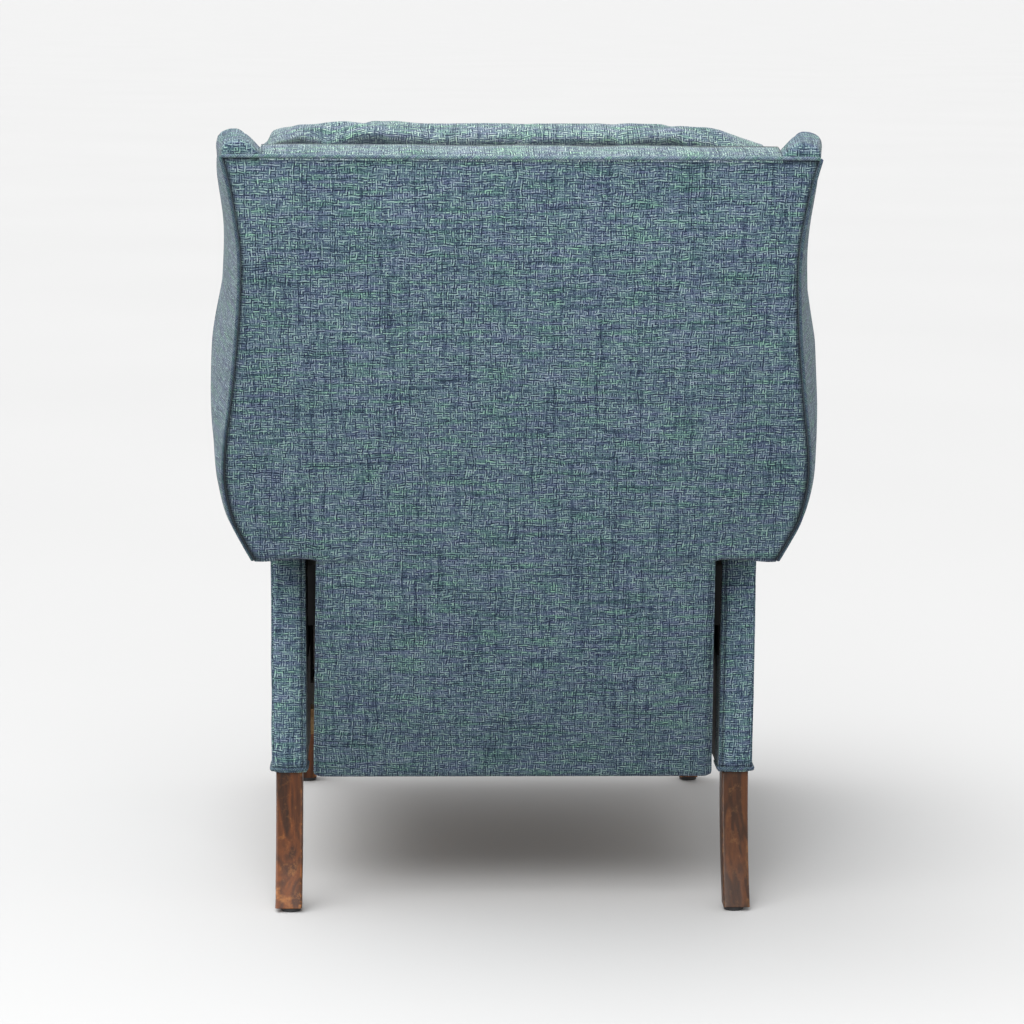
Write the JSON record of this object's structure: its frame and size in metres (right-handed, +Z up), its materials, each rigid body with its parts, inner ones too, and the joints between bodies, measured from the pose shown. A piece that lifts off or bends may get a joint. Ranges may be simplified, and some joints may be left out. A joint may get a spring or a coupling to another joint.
{
  "type": "recliner armchair",
  "caption": "High-leg wing armchair with a back that tilts, a seat that swings forward as it does, and a footrest that unfolds on lazy tongs.",
  "frame": {"origin": "on the floor, below the middle of the chair's bounding box with the back upright and the footrest folded", "axes": "+Z up, the sitter faces -Y, +X towards the sitter's left"},
  "size_m": [0.849, 0.89, 1.1149],
  "materials": {
    "upholstery": "woven tweed in teal and blue-grey",
    "deck_cloth": "plain dark twill",
    "lining": "black spun cloth",
    "leg_wood": "brown stained hardwood, satin, worn edges",
    "frame_wood": "unfinished hardwood",
    "steel": "zinc-plated steel",
    "glide": "black plastic"
  },
  "bodies": {
    "base": {"right_arm_frame": "frame_wood", "left_arm_frame": "frame_wood", "right_outside_arm_panel": "upholstery", "left_outside_arm_panel": "upholstery", "right_inside_arm_panel": "upholstery", "left_inside_arm_panel": "upholstery", "right_arm_roll": "upholstery", "left_arm_roll": "upholstery", "right_arm_front_panel": "upholstery", "left_arm_front_panel": "upholstery", "right_rear_post_cover": "upholstery", "left_rear_post_cover": "upholstery", "front_right_leg": "leg_wood", "front_left_leg": "leg_wood", "rear_right_leg": "leg_wood", "rear_left_leg": "leg_wood", "leg_glides": "glide", "leg_hanger_bolts": "steel", "front_cross_rail": "frame_wood", "rear_cross_rail": "frame_wood", "right_mechanism_plate": "steel", "left_mechanism_plate": "steel", "mechanism_bolts": "steel"},
    "back": {"back_frame": "frame_wood", "outside_back_panel": "upholstery", "right_wing": "upholstery", "left_wing": "upholstery", "right_wing_board": "frame_wood", "left_wing_board": "frame_wood", "back_top_band": "upholstery", "back_springs": "steel", "back_lining": "lining", "back_cushion": "upholstery", "right_back_bracket": "steel", "left_back_bracket": "steel", "back_bracket_bolts": "steel"},
    "swing_links": {"front_swing_links": "steel"},
    "seat": {"seat_frame": "frame_wood", "seat_springs": "steel", "seat_deck": "deck_cloth", "seat_dust_cover": "lining", "seat_cushion": "upholstery", "right_seat_rail": "steel", "left_seat_rail": "steel", "seat_rail_bolts": "steel"},
    "outer_links_1": {"outer_tongs_1": "steel", "torque_tube": "steel"},
    "inner_links_1": {"inner_tongs_1": "steel"},
    "outer_links_2": {"outer_tongs_2": "steel"},
    "inner_links_2": {"inner_tongs_2": "steel"},
    "inner_links_3": {"inner_tongs_3": "steel"},
    "footrest": {"footrest_brackets": "steel", "footrest_board": "frame_wood", "footrest_pad": "upholstery", "footrest_screws": "steel"}
  },
  "joints": [
    {"name": "back_recline", "type": "hinge", "parent": "base", "child": "back", "pos_m": [0, 0.225, 0.465], "axis": [-1, 0, 0], "range_deg": [0, 32]},
    {"name": "seat_swing", "type": "hinge", "parent": "back", "child": "seat", "pos_m": [0, 0.19638, 0.31776], "axis": [-1, 0, 0], "range_deg": [-32, 0]},
    {"name": "front_link_swing", "type": "hinge", "parent": "base", "child": "swing_links", "pos_m": [0, -0.19, 0.385], "axis": [-1, 0, 0], "range_deg": [0, 32]},
    {"name": "footrest_open", "type": "hinge", "parent": "seat", "child": "outer_links_1", "pos_m": [0, -0.322, 0.362], "axis": [-1, 0, 0], "range_deg": [0, 76]},
    {"name": "cross_pivot_1", "type": "hinge", "parent": "outer_links_1", "child": "inner_links_1", "pos_m": [0, -0.34271, 0.28473], "axis": [-1, 0, 0], "range_deg": [-152, 0]},
    {"name": "top_pivot_1", "type": "hinge", "parent": "inner_links_1", "child": "outer_links_2", "pos_m": [0, -0.34131, 0.36471], "axis": [-1, 0, 0], "range_deg": [0, 152]},
    {"name": "cross_pivot_2", "type": "hinge", "parent": "outer_links_2", "child": "inner_links_2", "pos_m": [0, -0.36201, 0.28744], "axis": [-1, 0, 0], "range_deg": [-152, 0]},
    {"name": "end_pivot_2", "type": "hinge", "parent": "outer_links_2", "child": "inner_links_3", "pos_m": [0, -0.38272, 0.21017], "axis": [-1, 0, 0], "range_deg": [-152, 0]},
    {"name": "top_pivot_2", "type": "hinge", "parent": "inner_links_2", "child": "footrest", "pos_m": [0, -0.36062, 0.36743], "axis": [-1, 0, 0], "range_deg": [0, 152]}
  ],
  "couplings": [
    {"joint": "seat_swing", "follows": "back_recline", "ratio": -1},
    {"joint": "front_link_swing", "follows": "back_recline", "ratio": 1},
    {"joint": "cross_pivot_1", "follows": "footrest_open", "ratio": -2},
    {"joint": "top_pivot_1", "follows": "footrest_open", "ratio": 2},
    {"joint": "cross_pivot_2", "follows": "footrest_open", "ratio": -2},
    {"joint": "end_pivot_2", "follows": "footrest_open", "ratio": -2},
    {"joint": "top_pivot_2", "follows": "footrest_open", "ratio": 2}
  ]
}
